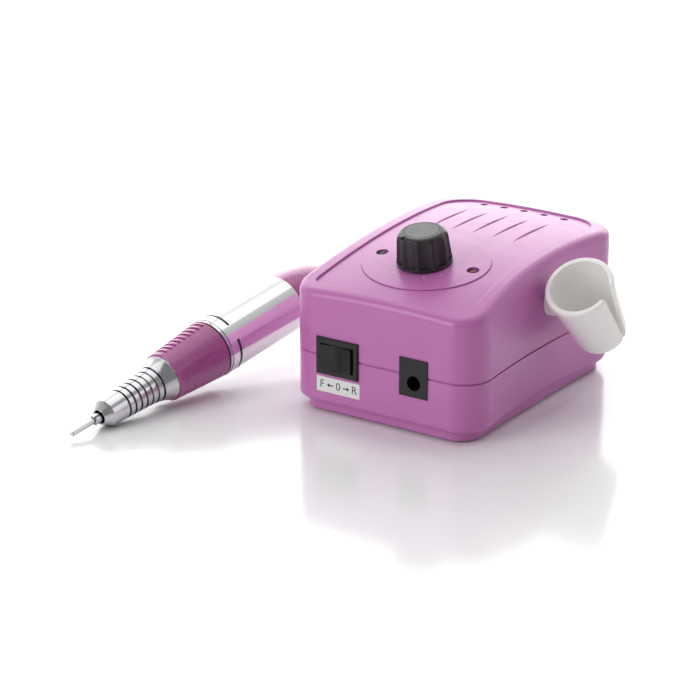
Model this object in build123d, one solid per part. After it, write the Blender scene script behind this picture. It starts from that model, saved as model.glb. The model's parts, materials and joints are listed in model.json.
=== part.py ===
"""Electric nail drill: control box with holder, speed dial, switch and socket, and its handpiece.

Millimetres. +Z is up, the control box's front faces -Y, and the holder is on its +X side.
The table is z = 0. The control box is centred on x = 0.
"""

import math
import os

from build123d import *

# Control box
HALF_WIDTH = 44.4
FRONT = -55.0
BACK = 64.3
SIDE_WAIST = 4.0
CORNER_RADIUS = 12.0
REAR_CORNER_RADIUS = 17.0
WALL = 2.5
SEAM_Z = 25.0
SKIRT_Z = 4.8
FLOOR_TOP = 4.2
CROWN_RADIUS = 280.0
CROWN_SIDE_RADIUS = 500.0
CROWN_Y = 26.0
CROWN_TOP = 63.2
EDGE_FILLET = 3.8
GROOVE_DEPTH = 0.6
GROOVE_HALF = 0.4
TONGUE_HEIGHT = 1.6

# Plinth and feet
PLINTH_HALF_WIDTH = 39.2
PLINTH_BOTTOM = 0.8
PLINTH_TOP = 10.0
PLINTH_RECESS = 3.0
FOOT_RADIUS = 6.0
FOOT_PLACES = [(-25, -38.5), (25, -38.5), (-25, 41.5), (25, 41.5)]
BOSS_PLACES = [(-33.5, -44.5), (33.5, -44.5), (-32.5, 48.5), (32.5, 48.5)]

# Sunken top panel, its tapering grooves and vent holes
PANEL_DEPTH = 0.8
PANEL_HALF_WIDTH = 35.5
PANEL_FRONT = -47.7
PANEL_BOW = 2.5
PANEL_BACK = 60.0
PANEL_EDGE = 0.45
GROOVE_PITCH = 9.6
GROOVE_Y = 28.5
GROOVE_WHEEL = 165.0
GROOVE_SINK = 1.1
VENT_Y = 55.0
VENT_RADIUS = 1.7

# Speed dial, leaning with the panel
DIAL_X = -0.8
DIAL_Y = -21.0
DIAL_HALF_WIDTH = 26.6
DIAL_HALF_DEPTH = 23.0
DIAL_BEHIND = 1.0
DIAL_TOP = 0.45
DIAL_BOTTOM = -1.6
DIAL_TICKS = 11
DIAL_SWEEP = 300.0
LED_X = 21.1
LED_Y = 1.8
LED_RADIUS = 2.4
KNOB_BOTTOM = 0.9
KNOB_TOP = 14.0
SKIRT_RADIUS = 11.1
KNOB_LOW_RADIUS = 10.9
KNOB_SHOULDER_RADIUS = 10.2
KNOB_SHOULDER_Z = 10.8
KNOB_TOP_RADIUS = 7.9
KNOB_CAP_RADIUS = 6.6
KNOB_SCOOPS = 10
SHAFT_RADIUS = 3.0

# Front fittings: centres on the front face
SWITCH_X = -19.1
SWITCH_Z = 24.95
BEZEL = (19.6, 15.4)
BEZEL_PROUD = 1.0
SWITCH_BODY = (18.8, 12.6)
ROCKER_HOLE = (15.6, 10.6)
SOCKET_X = 16.1
SOCKET_Z = 24.1
SOCKET_PLATE = (12.7, 15.6)
SOCKET_BODY = (10.4, 12.0)
SOCKET_PROUD = 0.5
SOCKET_BORE_X = 16.35
SOCKET_BORE_Z = 22.0
SOCKET_BORE_RADIUS = 3.0
LABEL = (20.4, 6.4)
LABEL_X = -19.0
LABEL_Z = 12.85
LABEL_DEPTH = 0.3

# Rear cord bushing
BUSHING_X = 18.0
BUSHING_Z = 15.0

# Holder cup on the right side, leaning towards the front
CUP_MOUTH = (57.25, -1.0, 54.0)
CUP_LEAN = 39.0
CUP_LENGTH = 34.5
CUP_MOUTH_RADIUS = 13.4
CUP_END_RADIUS = 10.6
CUP_WALL = 1.5
CUP_SLOT = 8.0
CUP_SLOT_END = 1.0
PIVOT_DOWN = 14.0
PIVOT_RADIUS = 3.0

# Handpiece, drawn along its own axis: z = 0 at the front of the grip, the tail at +z
HANDPIECE_AT = (-85.35, -82.0, 11.16)
HANDPIECE_HEADING = 6.2
HANDPIECE_RISE = 9.8
TUBE_RADIUS = 12.55
TUBE_FRONT = 29.1
INDEX_AT = 32.8
TUBE_BACK = 72.4
GRIP_FRONT_RADIUS = 10.2
GRIP_BACK_RADIUS = 12.3
GRIP_LENGTH = 27.4
CAP_END = 97.0
SHANK_RADIUS = 1.175

# The row's origin is on the table under the middle of everything, so all is moved by this at the end
SHIFT = (12.382, 32.145, 0)

parts = {}


def box(size, centre):
    """A box of the given size about a centre."""
    return Pos(*centre) * Box(*size)


def rod(radius, low, high, x=0.0, y=0.0):
    """An upright cylinder from z = low to z = high."""
    return Pos(x, y, (low + high) / 2) * Cylinder(radius, high - low)


def rod_x(radius, low, high, y, z):
    """A cylinder along X from x = low to x = high."""
    return Pos((low + high) / 2, y, z) * Rot(0, 90, 0) * Cylinder(radius, high - low)


def rod_y(radius, low, high, x, z):
    """A cylinder along Y from y = low to y = high."""
    return Pos(x, (low + high) / 2, z) * Rot(90, 0, 0) * Cylinder(radius, high - low)


def ring(outer, inner, low, high):
    """An upright ring or tube."""
    return rod(outer, low, high) - rod(inner, low - 1, high + 1)


def turned(points):
    """A solid of revolution about Z from (radius, z) corners."""
    corners = [(r, 0, z) for r, z in points]
    return revolve(make_face(Polyline(*corners, close=True)), Axis.Z)


def wedge(middle, half_angle, low, high, reach=40.0):
    """A sector about Z, centred on an angle in degrees, for cutting or keeping part of a ring."""
    start = math.radians(middle - half_angle)
    centre = math.radians(middle)
    end = math.radians(middle + half_angle)
    tip = reach / math.cos(math.radians(half_angle))
    corners = [
        (0, 0),
        (tip * math.cos(start), tip * math.sin(start)),
        (reach * math.cos(centre), reach * math.sin(centre)),
        (tip * math.cos(end), tip * math.sin(end)),
    ]
    face = Pos(0, 0, low) * make_face(Polyline(*corners, close=True))
    return extrude(face, high - low)


def waisted(half_width, front, back, waist, corner, rear_corner, bow=0.0):
    """A rectangle with rounded corners, its sides curving in and its front edge bowed out."""
    middle = (front + back) / 2
    front_edge = Line((-half_width, front), (half_width, front))
    if bow > 0:
        front_edge = ThreePointArc((-half_width, front), (0, front - bow), (half_width, front))
    sides = [
        front_edge,
        ThreePointArc((half_width, front), (half_width - waist, middle), (half_width, back)),
        Line((half_width, back), (-half_width, back)),
        ThreePointArc((-half_width, back), (waist - half_width, middle), (-half_width, front)),
    ]
    face = make_face(sides)
    face = fillet(face.vertices().sort_by(Axis.Y)[:2], corner)
    return fillet(face.vertices().sort_by(Axis.Y)[-2:], rear_corner)


def case_plan(inset):
    """The control box's plan, drawn in by inset."""
    corner = CORNER_RADIUS - inset
    rear_corner = REAR_CORNER_RADIUS - inset
    return waisted(HALF_WIDTH - inset, FRONT + inset, BACK - inset, SIDE_WAIST, corner, rear_corner)


def case_prism(inset, low, high):
    """The control box's plan, drawn in by inset, from z = low to z = high."""
    return extrude(Pos(0, 0, low) * case_plan(inset), high - low)


def plinth_prism(inset, low, high):
    """The plinth's plan, drawn in by inset, from z = low to z = high."""
    front = FRONT + PLINTH_RECESS + inset
    back = BACK - PLINTH_RECESS - inset
    plan = waisted(PLINTH_HALF_WIDTH - inset, front, back, 0.6, 9 - inset, 14 - inset)
    return extrude(Pos(0, 0, low) * plan, high - low)


def under_crown(drop):
    """Everything below the top, which is crowned both ways, lowered by drop."""
    radius = CROWN_RADIUS - drop
    centre_z = CROWN_TOP - CROWN_RADIUS
    reach = 110
    end_z = centre_z + math.sqrt(radius**2 - reach**2)
    left = (0, CROWN_Y - reach, end_z)
    right = (0, CROWN_Y + reach, end_z)
    low_left = (0, CROWN_Y - reach, -20)
    low_right = (0, CROWN_Y + reach, -20)
    top = ThreePointArc(left, (0, CROWN_Y, centre_z + radius), right)
    section = make_face([top, Line(right, low_right), Line(low_right, low_left), Line(low_left, left)])
    hub = Axis((0, 0, CROWN_TOP - CROWN_SIDE_RADIUS), (0, 1, 0))
    return revolve(section.rotate(hub, -8), hub, 16)


def crown_z(y, x=0.0):
    """Height of the crowned top at y and x."""
    along = CROWN_RADIUS - math.sqrt(CROWN_RADIUS**2 - (y - CROWN_Y) ** 2)
    across = CROWN_SIDE_RADIUS - along
    return CROWN_TOP - CROWN_SIDE_RADIUS + math.sqrt(across**2 - x**2)


def dial_disc(margin, low, high):
    """The dial plate's oval outline as a solid, in the dial's own frame."""
    outline = Ellipse(DIAL_HALF_WIDTH + margin, DIAL_HALF_DEPTH + margin)
    return extrude(Pos(0, DIAL_BEHIND, low) * outline, high - low)


def front_hole(size, x, z, depth=8.0):
    """A rectangular cutter through the front wall."""
    return box((size[0], depth, size[1]), (x, FRONT + 1, z))


dial_lean = math.degrees(math.asin((CROWN_Y - DIAL_Y) / CROWN_RADIUS))
dial = Pos(DIAL_X, DIAL_Y, crown_z(DIAL_Y) - PANEL_DEPTH) * Rot(dial_lean, 0, 0)


cup = Pos(*CUP_MOUTH) * Rot(CUP_LEAN, 0, 0)
pivot_y = CUP_MOUTH[1] + PIVOT_DOWN * math.sin(math.radians(CUP_LEAN))
pivot_z = CUP_MOUTH[2] - PIVOT_DOWN * math.cos(math.radians(CUP_LEAN))

heading = math.radians(HANDPIECE_HEADING)
rise = math.radians(HANDPIECE_RISE)
handpiece_axis = (
    math.sin(heading) * math.cos(rise),
    math.cos(heading) * math.cos(rise),
    math.sin(rise),
)
handpiece_plane = Plane(
    origin=HANDPIECE_AT,
    x_dir=(math.cos(heading), -math.sin(heading), 0),
    z_dir=handpiece_axis,
)
handpiece = handpiece_plane.location


# ---- Control box shells ----

outer = case_prism(0, SKIRT_Z, 75) & under_crown(0)
top_face = outer.faces().sort_by(Axis.Z)[-1]
outer = fillet(top_face.edges(), EDGE_FILLET)
inner = case_prism(WALL, SKIRT_Z + 2.4, 75) & under_crown(WALL + PANEL_DEPTH)
inner += plinth_prism(WALL, FLOOR_TOP, SKIRT_Z + 3)
below_seam = box((200, 200, 100), (0, 0, SEAM_Z - 50))
above_seam = box((200, 200, 100), (0, 0, SEAM_Z + 50))
groove = case_prism(-1, SEAM_Z - GROOVE_HALF, SEAM_Z + GROOVE_HALF)
groove -= case_prism(GROOVE_DEPTH, SEAM_Z - 1, SEAM_Z + 1)
switch_hole = front_hole((SWITCH_BODY[0] + 0.2, SWITCH_BODY[1] + 0.2), SWITCH_X, SWITCH_Z)
socket_hole = front_hole((SOCKET_BODY[0] + 0.2, SOCKET_BODY[1] + 0.2), SOCKET_X, SOCKET_Z)

plinth = plinth_prism(0, PLINTH_BOTTOM, PLINTH_TOP)
# The skirt's lower edge arches up along both sides
side_arch = Pos(0, (FRONT + BACK) / 2, SKIRT_Z + 2 - 255) * Rot(0, 90, 0) * Cylinder(255, 200)
lower = outer & below_seam
lower_edges = lower.faces().sort_by(Axis.Z)[0].edges()
lower = fillet(lower_edges, 1.8)
bottom_shell = (lower - side_arch) + plinth
bottom_shell -= inner
tongue = case_prism(WALL / 2 + 0.1, SEAM_Z - 1, SEAM_Z + TONGUE_HEIGHT)
tongue -= case_prism(WALL, SEAM_Z - 2, SEAM_Z + 3)
bottom_shell += tongue
for x, y in BOSS_PLACES:
    bottom_shell += rod(4.2, FLOOR_TOP - 1, SEAM_Z, x, y) & case_prism(1, 0, SEAM_Z)
for x, y in BOSS_PLACES:
    bottom_shell -= rod(1.75, 0, SEAM_Z + 1, x, y)
    bottom_shell -= rod(3.4, 0, 8.0, x, y)
for x, y in FOOT_PLACES:
    bottom_shell -= rod(FOOT_RADIUS + 0.1, 0, 1.8, x, y)

BOARD_Z = 9.0
BOARD_POSTS = [(-24, -40), (24, -40), (-24, -4), (24, -4)]
for x, y in BOARD_POSTS:
    bottom_shell += rod(3.2, FLOOR_TOP - 1, BOARD_Z, x, y)
for x, y in BOARD_POSTS:
    bottom_shell -= rod(1.2, FLOOR_TOP, BOARD_Z + 1, x, y)

CORE_AT = (-2.0, 30.0)
BRACKET_HOLES = [(CORE_AT[0] - 26, CORE_AT[1]), (CORE_AT[0] + 26, CORE_AT[1])]
for x, y in BRACKET_HOLES:
    bottom_shell -= rod(1.2, 1.6, FLOOR_TOP + 1, x, y)

bottom_shell -= groove
bottom_shell -= switch_hole
bottom_shell -= socket_hole
bottom_shell -= box((LABEL[0], 2 * LABEL_DEPTH, LABEL[1]), (LABEL_X, FRONT, LABEL_Z))
bottom_shell -= rod_y(6.1, BACK - 5, BACK + 5, BUSHING_X, BUSHING_Z)
parts["bottom_shell"] = bottom_shell

top_shell = (outer & above_seam) - inner
top_shell -= case_prism(WALL / 2, SEAM_Z - 1, SEAM_Z + TONGUE_HEIGHT + 0.2)
boss_tops = case_prism(1.4, SEAM_Z, 75) & under_crown(2)
for x, y in BOSS_PLACES:
    top_shell += rod(4.2, SEAM_Z, 75, x, y) & boss_tops
for x, y in BOSS_PLACES:
    top_shell -= rod(1.3, SEAM_Z - 1, SEAM_Z + 13, x, y)
panel_plan = waisted(PANEL_HALF_WIDTH, PANEL_FRONT, PANEL_BACK, 2.6, 3, 13, PANEL_BOW)
top_shell -= extrude(Pos(0, 0, 40) * panel_plan, 40) - under_crown(PANEL_DEPTH)
panel_edges = []
for edge in top_shell.edges():
    middle = edge.position_at(0.5)
    on_crown = abs(middle.Z - crown_z(middle.Y, middle.X)) < 0.01
    if on_crown and abs(middle.X) < PANEL_HALF_WIDTH + 0.1 and abs(middle.Y - 5) < 55.8:
        panel_edges.append(edge)
top_shell = fillet(panel_edges, PANEL_EDGE)
rim = GROOVE_WHEEL - 1.8
wheel = Rot(0, 90, 0) * turned([(0, -1.3), (rim, -1.3), (GROOVE_WHEEL, 0), (rim, 1.3), (0, 1.3)])
for k in range(-2, 3):
    x = k * GROOVE_PITCH
    wheel_z = crown_z(GROOVE_Y, x) - PANEL_DEPTH - GROOVE_SINK + GROOVE_WHEEL
    top_shell -= Pos(x, GROOVE_Y, wheel_z) * wheel
    top_shell -= rod(VENT_RADIUS, 50, 80, x, VENT_Y)
top_shell -= dial * dial_disc(0.1, DIAL_BOTTOM, 10)
top_shell -= dial * rod(3.7, -8, 8)
for side in (-1, 1):
    top_shell -= dial * rod(LED_RADIUS + 0.15, -8, 8, side * LED_X, LED_Y)
top_shell -= groove
top_shell -= switch_hole
top_shell -= socket_hole
top_shell -= rod_x(PIVOT_RADIUS + 0.05, 30, 50, pivot_y, pivot_z)
top_shell += rod_x(7.0, 36, 40.6, pivot_y, pivot_z) - rod_x(PIVOT_RADIUS + 0.05, 30, 50, pivot_y, pivot_z)
parts["top_shell"] = top_shell

feet = []
for x, y in FOOT_PLACES:
    feet.append(rod(FOOT_RADIUS, 0, 1.8, x, y))
parts["rubber_feet"] = Compound(feet)

screws = []
for x, y in BOSS_PLACES:
    screw = rod(3.1, 5.6, 8.0, x, y) + rod(1.3, 8.0, SEAM_Z + 12, x, y)
    screw -= box((1.0, 5.0, 1.2), (x, y, 5.6))
    screw -= box((5.0, 1.0, 1.2), (x, y, 5.6))
    screws.append(screw)
parts["case_screws"] = Compound(screws)

parts["direction_label"] = box(
    (LABEL[0] - 0.1, LABEL_DEPTH, LABEL[1] - 0.1), (LABEL_X, FRONT + LABEL_DEPTH / 2, LABEL_Z)
)

bushing = rod_y(8.0, BACK, BACK + 3.5, BUSHING_X, BUSHING_Z)
bushing += rod_y(6.05, BACK - WALL, BACK + 1, BUSHING_X, BUSHING_Z)
bushing += rod_y(6.0, BACK - 6, BACK - WALL, BUSHING_X, BUSHING_Z)
bushing -= rod_y(3.2, BACK - 8, BACK + 12, BUSHING_X, BUSHING_Z)
parts["cord_bushing"] = bushing


# ---- Main board and its components ----

BOARD_TOP = BOARD_Z + 1.6
board = box((56, 46, 1.6), (0, -22, BOARD_Z + 0.8))
for x, y in BOARD_POSTS:
    board -= rod(1.6, 0, 20, x, y)
parts["main_board"] = board

board_screws = []
for x, y in BOARD_POSTS:
    board_screws.append(rod(2.8, BOARD_TOP, BOARD_TOP + 1.8, x, y) + rod(1.2, 4.6, BOARD_TOP, x, y))
parts["board_screws"] = Compound(board_screws)

parts["rectifier"] = box((9, 7, 4), (-14, -22, BOARD_TOP + 2))
capacitor = rod(6.3, BOARD_TOP, BOARD_TOP + 21, 17, -14)
parts["main_capacitor"] = fillet(capacitor.edges(), 0.8)

heat_sink = box((22, 2, 20), (-10, -4.5, BOARD_TOP + 10))
for k in range(6):
    heat_sink += box((1.2, 8, 20), (-20 + 4 * k, -8.5, BOARD_TOP + 10))
parts["heat_sink"] = heat_sink
transistor = box((10, 4.4, 9), (-10, -1.3, BOARD_TOP + 9))
for k in (-1, 0, 1):
    transistor += box((0.8, 0.6, 4.6), (-10 + 2.5 * k, -1.3, BOARD_TOP + 2.3))
parts["power_transistor"] = transistor

FUSE_Z = BOARD_TOP + 3.6
parts["fuse"] = rod_x(2.5, -16, 4, -33, FUSE_Z)
clips = []
for x in (-14, 2):
    clip = rod_x(3.0, x - 1.5, x + 1.5, -33, FUSE_Z) - rod_x(2.5, x - 3, x + 3, -33, FUSE_Z)
    clip -= box((4, 4, 4), (x, -33, FUSE_Z + 3))
    clip += box((3, 4, 0.62), (x, -33, BOARD_TOP + 0.31))
    clips.append(clip)
parts["fuse_clips"] = Compound(clips)


# ---- Transformer ----

core_x, core_y = CORE_AT
CORE = (42, 20, 35)
core_z = FLOOR_TOP + CORE[2] / 2
core = box(CORE, (core_x, core_y, core_z))
for side in (-1, 1):
    core -= box((7, 30, 21), (core_x + side * 10.5, core_y, core_z))
parts["transformer_core"] = core
winding = box((27.8, 33, 20.8), (core_x, core_y, core_z))
winding = fillet(winding.edges().filter_by(Axis.Z), 4)
winding -= box((14.2, 20.2, 30), (core_x, core_y, core_z))
parts["transformer_winding"] = winding
bracket = box((CORE[0] + 2.2, 14, CORE[2] + 1), (core_x, core_y, core_z + 0.5))
bracket -= box((CORE[0] + 0.1, 20, CORE[2]), (core_x, core_y, core_z))
bracket -= box((27, 20, 24), (core_x, core_y, core_z))
for side in (-1, 1):
    bracket += box((9, 14, 1), (core_x + side * (CORE[0] / 2 + 5.4), core_y, FLOOR_TOP + 0.5))
for x, y in BRACKET_HOLES:
    bracket -= rod(1.6, 0, 10, x, y)
parts["transformer_bracket"] = bracket
bracket_screws = []
for x, y in BRACKET_HOLES:
    bracket_screws.append(rod(2.8, FLOOR_TOP + 1, FLOOR_TOP + 3, x, y) + rod(1.2, 1.8, FLOOR_TOP + 1, x, y))
parts["bracket_screws"] = Compound(bracket_screws)


# ---- Direction switch ----

housing = box((BEZEL[0], BEZEL_PROUD, BEZEL[1]), (SWITCH_X, FRONT - BEZEL_PROUD / 2, SWITCH_Z))
housing = chamfer(housing.faces().sort_by(Axis.Y)[0].edges(), 0.4)
housing += box((SWITCH_BODY[0], 15, SWITCH_BODY[1]), (SWITCH_X, FRONT + 7.5, SWITCH_Z))
housing -= box((ROCKER_HOLE[0], 20, ROCKER_HOLE[1]), (SWITCH_X, FRONT - 2, SWITCH_Z))
housing -= rod(1.05, SWITCH_Z - 6.0, SWITCH_Z + 6.0, SWITCH_X, FRONT)
parts["switch_housing"] = housing

rocker_profile = [
    (-7.2, -2.1),
    (0, -0.7),
    (7.2, -2.1),
    (7.2, -0.4),
    (5.4, 4.6),
    (0, 5.4),
    (-5.4, 4.6),
    (-7.2, -0.4),
]
rocker_face = make_face(Polyline(*rocker_profile, close=True))
rocker = Pos(SWITCH_X, FRONT, SWITCH_Z - 5.1) * extrude(rocker_face, 10.2)
rocker += rod(1.0, SWITCH_Z - 5.9, SWITCH_Z + 5.9, SWITCH_X, FRONT)
parts["direction_rocker"] = rocker

terminals = []
for x in (-6.5, 0, 6.5):
    for z in (-3.4, 3.4):
        terminals.append(box((4.6, 8, 0.8), (SWITCH_X + x, FRONT + 19, SWITCH_Z + z)))
parts["switch_terminals"] = Compound(terminals)


# ---- Handpiece socket ----

plate_y = FRONT - SOCKET_PROUD / 2
socket = box((SOCKET_PLATE[0], SOCKET_PROUD, SOCKET_PLATE[1]), (SOCKET_X, plate_y, SOCKET_Z))
socket += box((SOCKET_BODY[0], 12, SOCKET_BODY[1]), (SOCKET_X, FRONT + 6, SOCKET_Z))
socket -= rod_y(SOCKET_BORE_RADIUS, FRONT - 5, FRONT + 10, SOCKET_BORE_X, SOCKET_BORE_Z)
parts["handpiece_socket"] = socket
contacts = []
for x in (-3.2, 3.2):
    contacts.append(box((2.4, 6, 0.5), (SOCKET_X + x, FRONT + 15, SOCKET_Z)))
parts["socket_contacts"] = Compound(contacts)


# ---- Speed dial: plate, marks, lamps, potentiometer and knob ----

DIAL_DROP = PANEL_DEPTH - DIAL_TOP
plate = dial * dial_disc(0, DIAL_BOTTOM, 5) & under_crown(DIAL_DROP)
plate -= dial * rod(3.7, -5, 5)
for side in (-1, 1):
    plate -= dial * rod(LED_RADIUS + 0.15, -5, 5, side * LED_X, LED_Y)
ink_layer = dial * rod(16, DIAL_BOTTOM, 5) & under_crown(DIAL_DROP)
ink_layer -= under_crown(DIAL_DROP + 0.25)
marks = []
for k in range(DIAL_TICKS):
    angle = 90 + DIAL_SWEEP / 2 - k * DIAL_SWEEP / (DIAL_TICKS - 1)
    length = 1.6 if k % 5 == 0 else 1.0
    mark = dial * Rot(0, 0, angle) * box((length, 0.5, 8), (12.8 + length / 2, 0, 0)) & ink_layer
    plate -= mark
    marks.append(mark.solids()[0])
parts["dial_plate"] = plate
parts["dial_marks"] = Compound(marks)

BOARD_LOCAL_TOP = -14.0
for name, side in (("power_lamp", -1), ("overload_lamp", 1)):
    lamp = rod(LED_RADIUS, -3.4, -0.4, side * LED_X, LED_Y)
    lamp = fillet(lamp.faces().sort_by(Axis.Z)[-1].edges(), 1.6)
    lamp += rod(2.9, -4.4, -3.4, side * LED_X, LED_Y)
    for x in (-1.27, 1.27):
        lamp += rod(0.3, BOARD_LOCAL_TOP, -4.4, side * LED_X + x, LED_Y)
    parts[name] = dial * lamp

control_board = box((52, 22, 1.6), (0, 0, BOARD_LOCAL_TOP - 0.8))
parts["control_board"] = dial * control_board

pot = rod(8.2, -13.0, -4.0) + rod(3.5, -4.0, 4.6)
pot -= rod(SHAFT_RADIUS + 0.03, -11, 6)
for x in (-5, 0, 5):
    pot += box((1, 0.6, 2), (x, 7.0, BOARD_LOCAL_TOP + 1))
parts["speed_pot"] = dial * pot

nut = extrude(Pos(0, 0, DIAL_TOP) * RegularPolygon(6.0, 6), 2.4) - rod(3.5, 0, 6)
parts["pot_nut"] = dial * nut

shaft = rod(SHAFT_RADIUS, -10.5, 12.0)
shaft -= box((6, 6, 8), (0, 4.6, 9.8))
parts["pot_shaft"] = dial * shaft

knob_lines = Polyline(
    (KNOB_SHOULDER_RADIUS, 0, KNOB_SHOULDER_Z),
    (KNOB_LOW_RADIUS, 0, KNOB_BOTTOM + 1.6),
    (SKIRT_RADIUS, 0, KNOB_BOTTOM + 1.0),
    (SKIRT_RADIUS, 0, KNOB_BOTTOM),
    (0, 0, KNOB_BOTTOM),
    (0, 0, KNOB_TOP),
    (KNOB_TOP_RADIUS, 0, KNOB_TOP),
)
shoulder = Spline(
    (KNOB_TOP_RADIUS, 0, KNOB_TOP),
    (KNOB_SHOULDER_RADIUS, 0, KNOB_SHOULDER_Z),
    tangents=[(1, 0, -0.35), (0.08, 0, -1)],
)
body = revolve(make_face([shoulder] + knob_lines.edges()), Axis.Z)
for k in range(KNOB_SCOOPS):
    turn = 360 / KNOB_SCOOPS * (k + 0.5)
    scoop = Pos(KNOB_SHOULDER_RADIUS + 4.5, 0, 9.3) * Rot(0, -4.5, 0) * Cylinder(5.5, 14)
    body -= Rot(0, 0, turn) * scoop
pointer = box((2.6, 1.3, 1.2), (KNOB_TOP_RADIUS + 0.5, 0, KNOB_TOP - 0.5))
body += Rot(0, 0, 90 + DIAL_SWEEP / 2) * pointer
body -= rod(KNOB_CAP_RADIUS, KNOB_TOP - 0.7, KNOB_TOP + 2)
body -= rod(7.6, KNOB_BOTTOM - 1, 5.2)
body -= rod(SHAFT_RADIUS + 0.03, 4, 12.1) - box((6, 6, 8), (0, 4.63, 9.8))
parts["speed_knob"] = dial * body
parts["knob_cap"] = dial * rod(KNOB_CAP_RADIUS - 0.05, KNOB_TOP - 0.7, KNOB_TOP + 0.05)


# ---- Holder cup ----

slope = (CUP_MOUTH_RADIUS - CUP_END_RADIUS) / CUP_LENGTH
holder = turned(
    [
        (CUP_END_RADIUS - 5.4, -CUP_LENGTH),
        (CUP_END_RADIUS - 4, -CUP_LENGTH),
        (CUP_END_RADIUS - 2, -CUP_LENGTH + 0.6),
        (CUP_END_RADIUS - 0.6, -CUP_LENGTH + 2),
        (CUP_END_RADIUS, -CUP_LENGTH + 4),
        (CUP_MOUTH_RADIUS, -2.4),
        (CUP_MOUTH_RADIUS + 0.5, -1.8),
        (CUP_MOUTH_RADIUS + 0.5, -0.5),
        (CUP_MOUTH_RADIUS, 0),
        (CUP_MOUTH_RADIUS - CUP_WALL, 0),
        (CUP_END_RADIUS - CUP_WALL, -CUP_LENGTH + 4.6),
        (CUP_END_RADIUS - 3, -CUP_LENGTH + 2.3),
        (CUP_END_RADIUS - 5.4, -CUP_LENGTH + 1.6),
    ]
)
slot_corners = [
    (3, -CUP_SLOT / 2, 1),
    (3, CUP_SLOT / 2, 1),
    (3, CUP_SLOT_END / 2, -CUP_LENGTH - 1),
    (3, -CUP_SLOT_END / 2, -CUP_LENGTH - 1),
]
holder -= extrude(make_face(Polyline(*slot_corners, close=True)), 20, dir=(1, 0, 0))
pivot_wall = CUP_MOUTH[0] - CUP_MOUTH_RADIUS + 0.4 + slope * PIVOT_DOWN
holder = cup * holder
holder += rod_x(5.5, 42.7, pivot_wall + 0.6, pivot_y, pivot_z)
holder -= rod_x(PIVOT_RADIUS, 30, pivot_wall - 0.9, pivot_y, pivot_z)
parts["holder_cup"] = holder
spacer = rod_x(6.5, 40.65, 42.6, pivot_y, pivot_z)
spacer -= rod_x(PIVOT_RADIUS + 0.05, 30, 50, pivot_y, pivot_z)
parts["holder_spacer"] = spacer
parts["holder_stud"] = rod_x(PIVOT_RADIUS, 31.5, pivot_wall - 0.9, pivot_y, pivot_z)
nut = Pos(32.6, pivot_y, pivot_z) * Rot(0, 90, 0) * extrude(RegularPolygon(5.5, 6), 3.2)
nut -= rod_x(PIVOT_RADIUS, 30, 40, pivot_y, pivot_z)
parts["holder_nut"] = nut


# ---- Handpiece: fixed pieces ----

nose_curve = Spline(
    (5.7, 0, -32.4), (6.05, 0, -25), (6.6, 0, -15.5), (7.5, 0, -6.2), (9.5, 0, -0.3)
)
nose_points = [
    (9.5, -0.3),
    (9.5, 0),
    (8.94, 0),
    (8.94, GRIP_LENGTH + 0.2),
    (12.3, GRIP_LENGTH + 0.2),
    (12.3, TUBE_FRONT - 0.1),
    (11.45, TUBE_FRONT - 0.1),
    (11.45, 38),
    (7.4, 38),
    (7.4, -0.5),
    (6.0, -0.5),
    (6.0, -5),
    (3.3, -6),
    (3.3, -28),
    (4.0, -28),
    (4.0, -32),
    (2.7, -32),
    (2.7, -35.4),
    (3.0, -35.7),
    (3.3, -35.7),
    (5.5, -32.75),
    (5.7, -32.4),
]
nose_lines = Polyline(*[(r, 0, z) for r, z in nose_points])
nose = revolve(make_face([nose_curve] + nose_lines.edges()), Axis.Z)
for k in range(7):
    z = -24.2 + 3.0 * k
    nose -= ring(20, 5.55 + 0.055 * (z + 24.2) + 0.0013 * (z + 24.2) ** 2, z - 0.5, z + 0.5)
for middle in (90, 270):
    nose -= ring(9.5, 7, 5.4, 8.6) & wedge(middle + 17.5, 24, 0, 20)
parts["nose_housing"] = handpiece * nose

bearings = [
    ring(4.0, 2.53, -32, -28.5),
    ring(6.0, 2.53, -4.8, -0.8),
]
parts["spindle_bearings"] = handpiece * Compound(bearings)

tube = ring(TUBE_RADIUS, 11.5, TUBE_FRONT, TUBE_BACK)
index_ring = ring(TUBE_RADIUS, TUBE_RADIUS - 0.4, INDEX_AT, INDEX_AT + 1.3)
arcs = [index_ring & wedge(51.5, 74.5, 30, 40), index_ring & wedge(231.5, 74.5, 30, 40)]
for arc in arcs:
    tube -= arc
parts["motor_tube"] = handpiece * tube
parts["index_arcs"] = handpiece * Compound([arc.solids()[0] for arc in arcs])

cap_curve = Spline((12.4, 0, 72.5), (12.1, 0, 78), (11.3, 0, 84.5), (10.0, 0, 90.5), (7.6, 0, CAP_END))
cap_points = [
    (7.6, CAP_END),
    (3.6, CAP_END),
    (3.6, 87.7),
    (8.2, 87.7),
    (10.0, 80),
    (10.0, 66.6),
    (11.45, 66.6),
    (11.45, 72.5),
    (12.4, 72.5),
]
cap_lines = Polyline(*[(r, 0, z) for r, z in cap_points])
cap = revolve(make_face([cap_curve] + cap_lines.edges()), Axis.Z)
for k in range(6):
    scoop = Pos(17.2, 0, 95) * Rot(0, -14, 0) * Cylinder(7.5, 24)
    cap -= Rot(0, 0, 60 * k + 38) * scoop
parts["tail_cap"] = handpiece * cap
gland = ring(3.55, 2.1, 87.5, 99.5) + ring(5.2, 2.1, 85.0, 87.6)
parts["cord_gland"] = handpiece * gland

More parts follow.
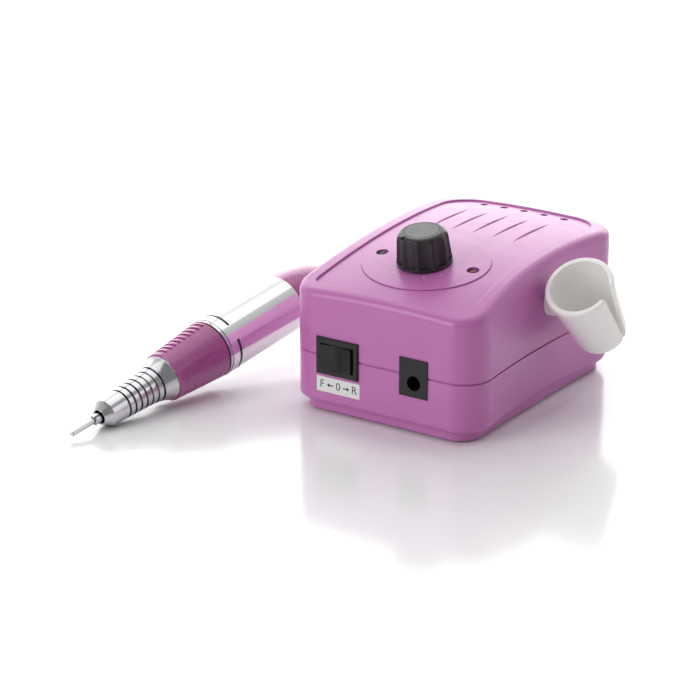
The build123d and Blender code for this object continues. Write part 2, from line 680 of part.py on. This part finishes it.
can = turned([(3.0, 39), (11.4, 39), (11.4, 63), (10.5, 63), (10.5, 40.5), (3.0, 40.5)])
parts["motor_can"] = handpiece * can
parts["motor_bushes"] = handpiece * Compound([ring(3.0, 1.03, 38.6, 41.6), ring(3.0, 1.03, 63, 66)])
parts["motor_end_cap"] = handpiece * ring(11.4, 3.0, 63, 65.5)
magnet_ring = ring(10.5, 8.2, 42, 60)
magnets = [magnet_ring & wedge(0, 70, 40, 62), magnet_ring & wedge(180, 70, 40, 62)]
parts["motor_magnets"] = handpiece * Compound([magnet.solids()[0] for magnet in magnets])
brushes = []
for side in (-1, 1):
    brushes.append(box((4.6, 2.2, 3.2), (side * 5.15, 0, 61.4)))
parts["motor_brushes"] = handpiece * Compound(brushes)


# ---- Handpiece: twist grip and release sleeve ----

grip = turned(
    [
        (9.0, 0.15),
        (GRIP_FRONT_RADIUS - 0.6, 0.15),
        (GRIP_FRONT_RADIUS, 0.8),
        (GRIP_BACK_RADIUS, GRIP_LENGTH - 0.6),
        (GRIP_BACK_RADIUS - 0.5, GRIP_LENGTH),
        (9.0, GRIP_LENGTH),
    ]
)
grip_slope = (GRIP_BACK_RADIUS - GRIP_FRONT_RADIUS) / GRIP_LENGTH
for k in range(9):
    z = 2.6 + 2.7 * k
    depth = GRIP_FRONT_RADIUS + grip_slope * z - 0.55
    grip -= ring(20, depth, z, z + 1.5) & wedge(-112, 30, 0, 30)
grip += Rot(0, 0, -28) * box((0.9, 0.7, 10), (GRIP_FRONT_RADIUS + grip_slope * 17 - 0.2, 0, 17))
for angle in (90, 270):
    pin = Pos(0, 0, 7) * Rot(0, 90, 0) * Cylinder(0.8, 3.4)
    grip += Rot(0, 0, angle) * Pos(7.6, 0, 0) * pin
parts["twist_grip"] = handpiece * grip

sleeve = ring(7.3, 5.0, 2.5, 13)
for middle in (90, 270):
    sleeve -= ring(8, 5.6, 5.15, 7.9) & wedge(middle + 17.5, 25, 0, 20)
parts["release_sleeve"] = handpiece * sleeve


# ---- Handpiece: spinning pieces ----

parts["motor_shaft"] = handpiece * rod(1.0, 13, 66)
armature = rod(7.6, 44, 57) - rod(1.0, 40, 60)
for k in range(5):
    armature -= Rot(0, 0, 72 * k) * box((3.0, 1.6, 20), (7.0, 0, 50))
parts["armature"] = handpiece * armature
commutator = ring(2.8, 1.0, 58.5, 62.8)
for k in range(5):
    commutator -= Rot(0, 0, 72 * k + 36) * box((1.0, 0.3, 10), (2.8, 0, 60))
parts["commutator"] = handpiece * commutator

drive_dog = rod(4.4, 9.2, 19) - rod(1.0, 12.9, 25)
drive_dog -= box((2.5, 12, 4.1), (0, 0, 10.2))
parts["drive_dog"] = handpiece * drive_dog

spindle = rod(2.5, -32.2, 4) + rod(4.4, 1, 8) + box((2.4, 7.6, 3.6), (0, 0, 9.8))
spindle -= rod(2.1, -37, -18)
spindle -= rod(1.3, -19, -6)
parts["spindle"] = handpiece * spindle

collet = rod(2.1, -39.0, -18)
collet = chamfer(collet.faces().sort_by(Axis.Z)[0].edges(), 0.4)
collet -= rod(SHANK_RADIUS + 0.02, -42, -17)
for k in range(3):
    collet -= Rot(0, 0, 120 * k + 60) * box((3, 0.5, 12), (1.5, 0, -34))
parts["collet"] = handpiece * collet

bit = rod(SHANK_RADIUS, -51.0, -8)
bit = fillet(bit.faces().sort_by(Axis.Z)[0].edges(), 0.6)
parts["drill_bit"] = handpiece * bit


os.makedirs("parts", exist_ok=True)
for name, part in parts.items():
    export_step(Pos(*SHIFT) * part, f"parts/{name}.step")
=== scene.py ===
"""Looks of the electric nail drill: materials, printed legend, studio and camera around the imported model."""
import json
import math

import bpy
from mathutils import Matrix, Vector


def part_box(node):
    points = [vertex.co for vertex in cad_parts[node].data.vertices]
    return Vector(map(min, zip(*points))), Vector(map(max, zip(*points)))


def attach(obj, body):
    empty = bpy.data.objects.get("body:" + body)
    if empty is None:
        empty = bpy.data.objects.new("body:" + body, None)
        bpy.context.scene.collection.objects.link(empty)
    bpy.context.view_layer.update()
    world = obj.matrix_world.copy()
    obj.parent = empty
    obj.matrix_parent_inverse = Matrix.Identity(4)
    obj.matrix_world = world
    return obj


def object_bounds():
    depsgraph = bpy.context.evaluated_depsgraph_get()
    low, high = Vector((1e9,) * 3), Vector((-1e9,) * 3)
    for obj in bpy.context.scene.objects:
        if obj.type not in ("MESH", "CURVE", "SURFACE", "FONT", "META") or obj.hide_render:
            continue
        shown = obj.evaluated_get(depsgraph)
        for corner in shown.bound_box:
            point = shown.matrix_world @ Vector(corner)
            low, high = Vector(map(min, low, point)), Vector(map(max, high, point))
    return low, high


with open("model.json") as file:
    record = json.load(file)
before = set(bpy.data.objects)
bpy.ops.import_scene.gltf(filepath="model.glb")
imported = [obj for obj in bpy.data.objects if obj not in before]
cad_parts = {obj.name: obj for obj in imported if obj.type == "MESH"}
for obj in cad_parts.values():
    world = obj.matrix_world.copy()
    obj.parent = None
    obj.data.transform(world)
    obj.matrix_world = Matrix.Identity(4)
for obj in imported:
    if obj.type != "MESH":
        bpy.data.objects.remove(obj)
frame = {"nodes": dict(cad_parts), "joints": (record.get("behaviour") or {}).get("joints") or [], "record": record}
cad_low, cad_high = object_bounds()

MM = 0.001
SPIN = {joint["name"]: joint for joint in frame["joints"]}["rotor_spin"]
SPIN_AXIS = Vector(SPIN["axis"]).normalized()
SPIN_POINT = Vector(SPIN["pos_m"])

# The control box's own origin is on the table, in the middle of its width, 55 mm behind its front face
FRONT_TO_ORIGIN = 55 * MM
shell_low, shell_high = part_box("bottom_shell")
BOX_ORIGIN = Vector(((shell_low.x + shell_high.x) / 2, shell_low.y + FRONT_TO_ORIGIN, 0))

CAMERA_OFFSET = Vector((0.47725, -0.7823, 0.3481))
CAMERA_TURN = (math.radians(70), 0, math.radians(34))
FLOOR_HALF_SIZE = 8.0

# Features per metre in the materials' noise
MOTTLE_SCALE = 45.0
SMUDGE_SCALE = 193.5
RING_SCALE = 9000.0

# Millimetres on the direction label: the print stands this far each side of the label's face
LEGEND_DEPTH = 0.02
LETTER_HEIGHT = 4.6
LETTER_SPACING = 7.6


# ---- Camera ----

camera_data = bpy.data.cameras.new("camera")
camera_data.sensor_width = 36
camera_data.lens = 123.43
camera_data.shift_y = 0.00286
camera_data.clip_start = 0.01
camera_data.clip_end = 50
camera = bpy.data.objects.new("camera", camera_data)
camera.location = BOX_ORIGIN + CAMERA_OFFSET
camera.rotation_euler = CAMERA_TURN
bpy.context.scene.collection.objects.link(camera)
bpy.context.scene.camera = camera
bpy.context.scene.view_settings.view_transform = "Standard"


# ---- Material helpers ----


def node(tree, kind, inputs=None, **settings):
    """Adds a node. Each input is either another node's socket, which is linked, or a plain value."""
    made = tree.nodes.new(kind)
    for key, value in settings.items():
        setattr(made, key, value)
    for key, value in (inputs or {}).items():
        if isinstance(value, bpy.types.NodeSocket):
            tree.links.new(value, made.inputs[key])
        else:
            made.inputs[key].default_value = value
    return made


def calc(tree, operation, first, second=0.0):
    """A math node's result."""
    return node(tree, "ShaderNodeMath", {0: first, 1: second}, operation=operation).outputs[0]


def spread(tree, value, low, high, to_low, to_high):
    """A value mapped from one range to another, held at its ends."""
    inputs = {"Value": value, "From Min": low, "From Max": high, "To Min": to_low, "To Max": to_high}
    return node(tree, "ShaderNodeMapRange", inputs).outputs[0]


def dot(tree, first, second):
    """The dot product of two vectors."""
    return node(tree, "ShaderNodeVectorMath", {0: first, 1: second}, operation="DOT_PRODUCT").outputs["Value"]


def blend_colour(tree, factor, first, second):
    """Two colours mixed by a factor."""
    inputs = {0: factor, 6: first, 7: second}
    return node(tree, "ShaderNodeMix", inputs, data_type="RGBA").outputs[2]


def rgba(colour, factor=1.0):
    """A colour with four parts, made darker or lighter."""
    return tuple(min(1.0, part * factor) for part in colour) + (1.0,)


def noise(tree, where, scale, detail=3.0):
    """A noise texture's value, at a scale in features per metre."""
    inputs = {"Vector": where, "Scale": scale, "Detail": detail, "Roughness": 0.55}
    return node(tree, "ShaderNodeTexNoise", inputs).outputs[0]


def turning_lines(tree, where):
    """Fine rings about the handpiece's axis, as a lathe leaves them."""
    moved = node(tree, "ShaderNodeVectorMath", {0: where, 1: SPIN_POINT}, operation="SUBTRACT").outputs[0]
    inputs = {"W": dot(tree, moved, SPIN_AXIS), "Scale": RING_SCALE, "Detail": 4.0}
    return node(tree, "ShaderNodeTexNoise", inputs, noise_dimensions="1D").outputs[0]


def finish(name, colour, roughness, metallic=0.0, mottle=0.05, grain_scale=2500.0, grain_height=0.01,
           round_edge=0.15, wear_and_highlight=0.1, coat=0.0, turned=0.0, layer=None, specular=0.5, transmission=0.0):
    """A procedural material. Lengths are in millimetres.

    Colour varies slowly with mottle and is lighter at the edges, partly rubbed by use and partly a painted
    highlight, roughness varies with smudges, and the bump is a fine moulded grain, with turning lines about the
    handpiece's axis if turned.
    """
    made = bpy.data.materials.new(name)
    made.use_nodes = True
    tree = made.node_tree
    shader = tree.nodes["Principled BSDF"]
    where = node(tree, "ShaderNodeTexCoord").outputs["Object"]
    smudge = noise(tree, where, SMUDGE_SCALE, 5.0)
    grain = noise(tree, where, grain_scale, 2.0)

    slow = spread(tree, noise(tree, where, MOTTLE_SCALE), 0.3, 0.7, 0.0, 1.0)
    base = blend_colour(tree, slow, rgba(colour, 1 - mottle), rgba(colour, 1 + mottle))

    normal = node(tree, "ShaderNodeNewGeometry").outputs["Normal"]
    rounded = node(tree, "ShaderNodeBevel", {"Radius": round_edge * MM}, samples=4).outputs[0]
    edge = spread(tree, dot(tree, rounded, normal), 0.97, 0.78, 0.0, 1.0)
    # Edges are lightened by this mask: partly edges rubbed by use, partly a painted highlight on the rims
    edge_wear_and_highlight = calc(tree, "MULTIPLY", edge, spread(tree, smudge, 0.35, 0.65, 0.2 * wear_and_highlight, wear_and_highlight))
    base = blend_colour(tree, edge_wear_and_highlight, base, rgba([0.35 + 0.65 * part for part in colour]))
    if layer:
        base = layer(tree, where, base)

    height = grain
    if turned:
        rings = calc(tree, "MULTIPLY", turning_lines(tree, where), turned)
        height = calc(tree, "ADD", rings, calc(tree, "MULTIPLY", grain, 1 - turned))
    bump_inputs = {"Strength": 1.0, "Distance": grain_height * MM, "Height": height, "Normal": rounded}
    bump = node(tree, "ShaderNodeBump", bump_inputs).outputs[0]

    rough = spread(tree, smudge, 0.3, 0.7, roughness * 0.85, roughness * 1.18)
    tree.links.new(base, shader.inputs["Base Color"])
    tree.links.new(rough, shader.inputs["Roughness"])
    tree.links.new(bump, shader.inputs["Normal"])
    shader.inputs["Metallic"].default_value = metallic
    shader.inputs["Specular IOR Level"].default_value = specular
    shader.inputs["Transmission Weight"].default_value = transmission
    shader.inputs["Coat Weight"].default_value = coat
    shader.inputs["Coat Roughness"].default_value = 0.12
    return made


def bands(axis, pitch, dark, share):
    """A layer of darker bands across an axis, its pitch in millimetres."""

    def layer(tree, where, base):
        part = node(tree, "ShaderNodeSeparateXYZ", {0: where}).outputs[axis]
        phase = calc(tree, "FRACT", calc(tree, "MULTIPLY", part, 1 / (pitch * MM)))
        mask = calc(tree, "LESS_THAN", phase, share)
        return blend_colour(tree, calc(tree, "MULTIPLY", mask, dark), base, rgba((0.01, 0.01, 0.01)))

    return layer


def traces(tree, where, base):
    """A layer of copper tracks under a circuit board's lacquer."""
    inputs = {"Vector": where, "Scale": 170.0, "Mortar Size": 0.03}
    inputs["Color1"] = inputs["Color2"] = rgba((0, 0, 0))
    inputs["Mortar"] = rgba((1, 1, 1))
    brick = node(tree, "ShaderNodeTexBrick", inputs).outputs[0]
    return blend_colour(tree, brick, base, rgba((0.10, 0.42, 0.16)))


def lens(tree, where, base):
    """A lamp's lens with painted shade, darker towards its rim where its face turns from the view."""
    weight = node(tree, "ShaderNodeLayerWeight", {"Blend": 0.35}).outputs["Facing"]
    return blend_colour(tree, weight, base, rgba((0.004, 0.003, 0.003)))


def painted_crevice_shade(tree, where, base):
    """A layer of painted shade that darkens narrow grooves, where ambient occlusion finds them closed in."""
    openness = node(tree, "ShaderNodeAmbientOcclusion", {"Distance": 2.0 * MM}, samples=6).outputs["AO"]
    crevice_shade_mask = spread(tree, openness, 0.9, 0.45, 0.0, 0.92)
    return blend_colour(tree, crevice_shade_mask, base, rgba((0.03, 0.03, 0.035)))


# ---- Materials, by the record's slots: colour, roughness, then what differs from the plain finish ----

METAL = {"metallic": 1.0}
LAMP = {"mottle": 0.1, "grain_height": 0.001, "wear_and_highlight": 0.0, "specular": 0.12}
FINISHES = {
    "shell_plastic": ((0.53, 0.158, 0.44), 0.33, {"mottle": 0.02, "grain_scale": 1900, "wear_and_highlight": 0.05,
                                                  "round_edge": 0.3, "coat": 0.2}),
    "grip_plastic": ((0.42, 0.098, 0.29), 0.26, {"mottle": 0.015, "grain_height": 0.002, "coat": 0.3,
                                                 "wear_and_highlight": 0.0}),
    "rubber": ((0.02, 0.02, 0.022), 0.75, {"mottle": 0.15, "grain_height": 0.03}),
    "zinc_steel": ((0.62, 0.63, 0.65), 0.32, {**METAL, "mottle": 0.08, "wear_and_highlight": 0.3}),
    "label": ((0.84, 0.84, 0.82), 0.38, {"mottle": 0.02, "grain_scale": 4000, "grain_height": 0.006,
                                         "wear_and_highlight": 0.0}),
    "black_plastic": ((0.010, 0.010, 0.012), 0.3, {"mottle": 0.2, "grain_height": 0.006, "wear_and_highlight": 0.08,
                                                   "specular": 0.3}),
    "knob_plastic": ((0.017, 0.016, 0.018), 0.36, {"mottle": 0.2, "grain_height": 0.008, "wear_and_highlight": 0.06}),
    "cap_grey": ((0.05, 0.05, 0.055), 0.3, {"mottle": 0.1, "grain_height": 0.004}),
    "circuit_board": ((0.02, 0.16, 0.06), 0.35, {"coat": 0.5, "layer": traces}),
    "component_black": ((0.02, 0.02, 0.02), 0.55, {"mottle": 0.2, "grain_height": 0.02}),
    "capacitor_sleeve": ((0.03, 0.04, 0.2), 0.3, {"coat": 0.3, "layer": bands(0, 12.6, 0.8, 0.15)}),
    "aluminium": ((0.72, 0.73, 0.75), 0.34, {**METAL, "mottle": 0.06, "wear_and_highlight": 0.2}),
    "fuse_glass": ((0.85, 0.9, 0.9), 0.05, {"mottle": 0.02, "grain_height": 0.002, "transmission": 0.9}),
    "core_iron": ((0.2, 0.2, 0.22), 0.5, {"metallic": 0.8, "layer": bands(1, 0.5, 0.55, 0.3)}),
    "winding_tape": ((0.62, 0.46, 0.08), 0.3, {"coat": 0.4, "layer": bands(2, 10.4, 0.25, 0.05)}),
    "brass": ((0.72, 0.52, 0.22), 0.28, {**METAL, "mottle": 0.1}),
    "dial_ink": ((0.62, 0.50, 0.60), 0.4, {"mottle": 0.03, "grain_height": 0.002, "round_edge": 0.03}),
    "green_lamp": ((0.004, 0.02, 0.008), 0.12, LAMP),
    # The red lamp's lens layer paints shade towards the lens rim
    "red_lamp": ((0.22, 0.002, 0.006), 0.12, {**LAMP, "layer": lens}),
    "white_plastic": ((0.97, 0.955, 0.93), 0.34, {"mottle": 0.01, "grain_height": 0.004, "wear_and_highlight": 0.0,
                                                  "round_edge": 0.08}),
    # The polished steel's narrow grooves get painted shade
    "polished_steel": ((0.66, 0.66, 0.68), 0.16, {**METAL, "grain_height": 0.003, "turned": 0.8,
                                                  "layer": painted_crevice_shade}),
    "tube_metal": ((0.84, 0.84, 0.85), 0.14, {**METAL, "mottle": 0.02, "grain_height": 0.001,
                                              "turned": 0.5}),
    "arc_ink": ((0.01, 0.01, 0.01), 0.4, {"mottle": 0.1, "grain_height": 0.004}),
    "magnet": ((0.08, 0.08, 0.09), 0.5, {"metallic": 0.5, "mottle": 0.15, "grain_height": 0.02}),
    "carbon": ((0.03, 0.03, 0.03), 0.6, {"mottle": 0.2, "grain_height": 0.02}),
    "copper": ((0.78, 0.36, 0.2), 0.25, {**METAL, "mottle": 0.12}),
}
MATERIALS = {}
for slot_name, (colour, roughness, details) in FINISHES.items():
    MATERIALS[slot_name] = finish(slot_name, colour, roughness, **details)

for subpart in frame["record"]["subparts"]:
    cad_node = frame["nodes"][subpart["node"]]
    cad_node.data.materials.clear()
    cad_node.data.materials.append(MATERIALS[subpart["material_slot"]])


# ---- Printed legend on the direction label ----


def printed(name, mesh):
    """A black printed piece that stays on the control box."""
    made = bpy.data.objects.new(name, mesh)
    bpy.context.scene.collection.objects.link(made)
    mesh.materials.append(MATERIALS["arc_ink"])
    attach(made, "control_box")


def letter(name, text, across):
    """A thin letter as a mesh facing -Y, across millimetres from the label's middle."""
    curve = bpy.data.curves.new(name, "FONT")
    curve.body = text
    curve.size = LETTER_HEIGHT * MM
    curve.align_x = "CENTER"
    curve.align_y = "CENTER"
    curve.extrude = LEGEND_DEPTH * MM
    drawn = bpy.data.objects.new(name + "_curve", curve)
    place = Matrix.Translation(label_face + Vector((across, 0, 0)) * MM)
    drawn.matrix_world = place @ Matrix.Rotation(math.radians(90), 4, "X")
    bpy.context.scene.collection.objects.link(drawn)
    bpy.context.view_layer.update()
    mesh = bpy.data.meshes.new_from_object(drawn.evaluated_get(bpy.context.evaluated_depsgraph_get()))
    mesh.transform(drawn.matrix_world)
    bpy.data.objects.remove(drawn)
    printed(name, mesh)


def arrow(name, across, direction):
    """A thin arrow facing -Y that points along X, across millimetres from the label's middle."""
    outline = [(-1.5, 0.25), (0.3, 0.25), (0.3, 0.9), (1.5, 0.0), (0.3, -0.9), (0.3, -0.25), (-1.5, -0.25)]
    outline = outline[::direction]
    points = []
    for depth in (-LEGEND_DEPTH, LEGEND_DEPTH):
        for x, z in outline:
            points.append(label_face + Vector((across + direction * x, depth, z)) * MM)
    count = len(outline)
    faces = [tuple(reversed(range(count))), tuple(range(count, 2 * count))]
    for k in range(count):
        after = (k + 1) % count
        faces.append((k, after, after + count, k + count))
    mesh = bpy.data.meshes.new(name)
    mesh.from_pydata(points, [], faces)
    printed(name, mesh)


label_low, label_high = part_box("direction_label")
label_face = Vector(((label_low.x + label_high.x) / 2, label_low.y, (label_low.z + label_high.z) / 2))
for text, across in (("F", -LETTER_SPACING), ("0", 0.0), ("R", LETTER_SPACING)):
    letter("legend_" + text, text, across)
arrow("legend_arrow_left", -LETTER_SPACING / 2, -1)
arrow("legend_arrow_right", LETTER_SPACING / 2, 1)


# ---- Floor, light and backdrop ----

centre = (cad_low + cad_high) / 2
centre.z = 0
toward = Vector((camera.location.x - centre.x, camera.location.y - centre.y, 0)).normalized()
sideways = Vector((-toward.y, toward.x, 0))

floor_mesh = bpy.data.meshes.new("floor")
corners = [(-1, -1, 0), (1, -1, 0), (1, 1, 0), (-1, 1, 0)]
floor_mesh.from_pydata([Vector(corner) * FLOOR_HALF_SIZE for corner in corners], [], [(0, 1, 2, 3)])
floor = bpy.data.objects.new("floor", floor_mesh)
bpy.context.scene.collection.objects.link(floor)
floor_look = bpy.data.materials.new("floor_gloss")
floor_look.use_nodes = True
floor_tree = floor_look.node_tree
floor_shader = floor_tree.nodes["Principled BSDF"]
floor_where = node(floor_tree, "ShaderNodeTexCoord").outputs["Object"]
floor_rough = spread(floor_tree, noise(floor_tree, floor_where, 14.0), 0.3, 0.7, 0.13, 0.17)
floor_tree.links.new(floor_rough, floor_shader.inputs["Roughness"])
floor_shader.inputs["Base Color"].default_value = (0.96, 0.96, 0.965, 1)
floor_shader.inputs["IOR"].default_value = 1.75
floor_mesh.materials.append(floor_look)


def softbox(name, back, right, up, size, radiance):
    """An area light facing the object that isn't seen directly: metres behind, to the right and above."""
    data = bpy.data.lights.new(name, "AREA")
    data.shape = "RECTANGLE"
    data.size, data.size_y = size
    data.energy = radiance * math.pi * size[0] * size[1]
    made = bpy.data.objects.new(name, data)
    made.location = centre - toward * back + sideways * right + Vector((0, 0, up))
    aim = centre + Vector((0, 0, 0.03)) - made.location
    made.rotation_euler = aim.to_track_quat("-Z", "Y").to_euler()
    made.visible_camera = False
    bpy.context.scene.collection.objects.link(made)


softbox("back_light", 1.3, 0, 0.55, (2.2, 1.0), 1.8)
softbox("top_light", 0.25, 0, 1.2, (1.3, 1.0), 0.7)
softbox("left_light", -0.7, -1.1, 0.6, (0.9, 0.9), 3.2)
softbox("right_light", -0.1, 1.3, 0.5, (0.7, 0.9), 0.8)

# The room is white to the camera and behind the object, and darker in front of it
world = bpy.data.worlds.new("studio")
bpy.context.scene.world = world
world.use_nodes = True
tree = world.node_tree
direction = node(tree, "ShaderNodeTexCoord").outputs["Generated"]
room = spread(tree, dot(tree, direction, -toward), -0.3, 0.6, 0.25, 0.95)
seen = node(tree, "ShaderNodeLightPath").outputs["Is Camera Ray"]
strength = calc(tree, "ADD", calc(tree, "MULTIPLY", room, calc(tree, "SUBTRACT", 1.0, seen)), seen)
tree.links.new(strength, tree.nodes["Background"].inputs["Strength"])
tree.nodes["Background"].inputs["Color"].default_value = (1, 1, 1, 1)
